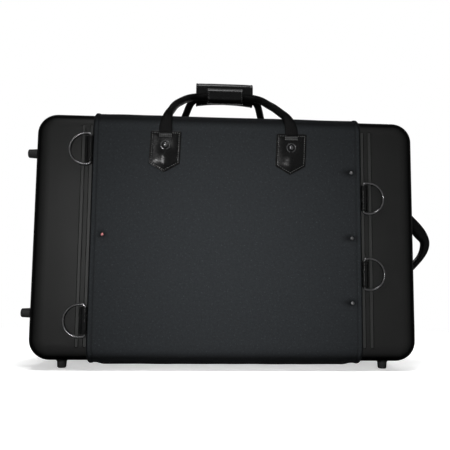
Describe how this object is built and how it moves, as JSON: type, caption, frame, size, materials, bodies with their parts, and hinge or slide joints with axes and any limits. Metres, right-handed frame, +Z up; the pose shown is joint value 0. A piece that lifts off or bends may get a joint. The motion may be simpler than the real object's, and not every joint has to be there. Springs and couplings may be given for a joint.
{
  "type": "multiple trumpet case",
  "caption": "Hard zipped case for a set of trumpets, with moulded ends, a fabric middle, a leather-gripped double handle, strap rings, an end strap and padded saddles inside.",
  "frame": {"origin": "on the floor under the middle of the case, in the parting plane, with the case standing on its bottom feet", "axes": "+X towards the end with the carrying strap, +Y towards the lid half, +Z up"},
  "size_m": [0.6685, 0.2713, 0.4925],
  "materials": {
    "moulded_shell": "satin",
    "woven_cover": "matte",
    "zip_tape": "matte",
    "zip_coil": "satin",
    "rubber_feet": "matte",
    "screws": "satin",
    "black_leather": "gloss",
    "webbing": "matte",
    "dark_rivets": "gloss",
    "silver_rivets": "satin",
    "copper_rivet": "satin",
    "nickel_rings": "polished",
    "black_metal": "satin",
    "plush_lining": "matte",
    "plush_blocks": "matte"
  },
  "bodies": {
    "base": {"base_shell": "moulded_shell", "base_cover": "woven_cover", "base_zip_tape": "zip_tape", "base_zip_coil": "zip_coil", "base_hinge_leaf": "zip_tape", "base_feet": "rubber_feet", "base_foot_screws": "screws", "base_handle_patches": "black_leather", "base_handle_rivets": "dark_rivets", "base_webbing_ends": "webbing", "base_liner": "plush_lining", "base_saddle_left": "plush_blocks", "base_saddle_right": "plush_blocks", "cover_rivet_left": "copper_rivet", "cover_rivets_right": "silver_rivets", "ring_tabs": "black_leather", "end_strap": "webbing", "end_strap_rivets": "dark_rivets"},
    "lid": {"lid_shell": "moulded_shell", "lid_cover": "woven_cover", "lid_zip_tape": "zip_tape", "lid_zip_coil": "zip_coil", "lid_hinge_leaf": "zip_tape", "lid_feet": "rubber_feet", "lid_foot_screws": "screws", "lid_handle_patches": "black_leather", "lid_handle_rivets": "dark_rivets", "lid_webbing_ends": "webbing", "lid_liner": "plush_lining", "lid_pad_left": "plush_blocks", "lid_pad_right": "plush_blocks", "music_pocket": "woven_cover", "pocket_zip": "zip_coil"},
    "front_handle": {"front_handle_loop": "webbing", "front_grip_sleeve": "black_leather"},
    "rear_handle": {"rear_handle_loop": "webbing", "rear_grip_sleeve": "black_leather"},
    "ring_upper_left": {"ring_upper_left": "nickel_rings"},
    "ring_lower_left": {"ring_lower_left": "nickel_rings"},
    "ring_upper_right": {"ring_upper_right": "nickel_rings"},
    "ring_lower_right": {"ring_lower_right": "nickel_rings"},
    "left_slider": {"left_slider": "black_metal"},
    "left_puller": {"left_puller": "black_metal"},
    "right_slider": {"right_slider": "black_metal"},
    "right_puller": {"right_puller": "black_metal"},
    "pocket_slider": {"pocket_slider": "black_metal"},
    "pocket_puller": {"pocket_puller": "black_metal"}
  },
  "joints": [
    {"name": "lid_hinge", "type": "hinge", "parent": "base", "child": "lid", "pos_m": [0, 0, 0.0103], "axis": [-1, 0, 0], "range_deg": [0, 158]},
    {"name": "front_handle_fold", "type": "hinge", "parent": "base", "child": "front_handle", "pos_m": [0, -0.1269, 0.364], "axis": [1, 0, 0], "range_deg": [0, 170]},
    {"name": "rear_handle_fold", "type": "hinge", "parent": "lid", "child": "rear_handle", "pos_m": [0, 0.1269, 0.364], "axis": [-1, 0, 0], "range_deg": [0, 170]},
    {"name": "ring_upper_left_swing", "type": "hinge", "parent": "base", "child": "ring_upper_left", "pos_m": [-0.2123, -0.12485, 0.3359], "axis": [0, 0, 1], "range_deg": [0, 170]},
    {"name": "ring_lower_left_swing", "type": "hinge", "parent": "base", "child": "ring_lower_left", "pos_m": [-0.2123, -0.12485, 0.0745], "axis": [0, 0, 1], "range_deg": [0, 170]},
    {"name": "ring_upper_right_swing", "type": "hinge", "parent": "base", "child": "ring_upper_right", "pos_m": [0.2123, -0.12485, 0.267], "axis": [0, 0, -1], "range_deg": [0, 170]},
    {"name": "ring_lower_right_swing", "type": "hinge", "parent": "base", "child": "ring_lower_right", "pos_m": [0.2123, -0.12485, 0.1485], "axis": [0, 0, -1], "range_deg": [0, 170]},
    {"name": "left_slider_run", "type": "slide", "parent": "base", "child": "left_slider", "axis": [-1, 0, 0], "range_m": [0, 0.395]},
    {"name": "left_puller_swing", "type": "hinge", "parent": "left_slider", "child": "left_puller", "pos_m": [0.138, 0, 0.3996], "axis": [0, 1, 0], "range_deg": [0, 100]},
    {"name": "right_slider_run", "type": "slide", "parent": "base", "child": "right_slider", "axis": [1, 0, 0], "range_m": [0, 0.105]},
    {"name": "right_puller_swing", "type": "hinge", "parent": "right_slider", "child": "right_puller", "pos_m": [0.156, 0, 0.3996], "axis": [0, -1, 0], "range_deg": [0, 100]},
    {"name": "pocket_slider_run", "type": "slide", "parent": "lid", "child": "pocket_slider", "axis": [-1, 0, 0], "range_m": [0, 0.306]},
    {"name": "pocket_puller_swing", "type": "hinge", "parent": "pocket_slider", "child": "pocket_puller", "pos_m": [0.154, 0.1412, 0.254], "axis": [0, 0, 1], "range_deg": [0, 150]}
  ]
}
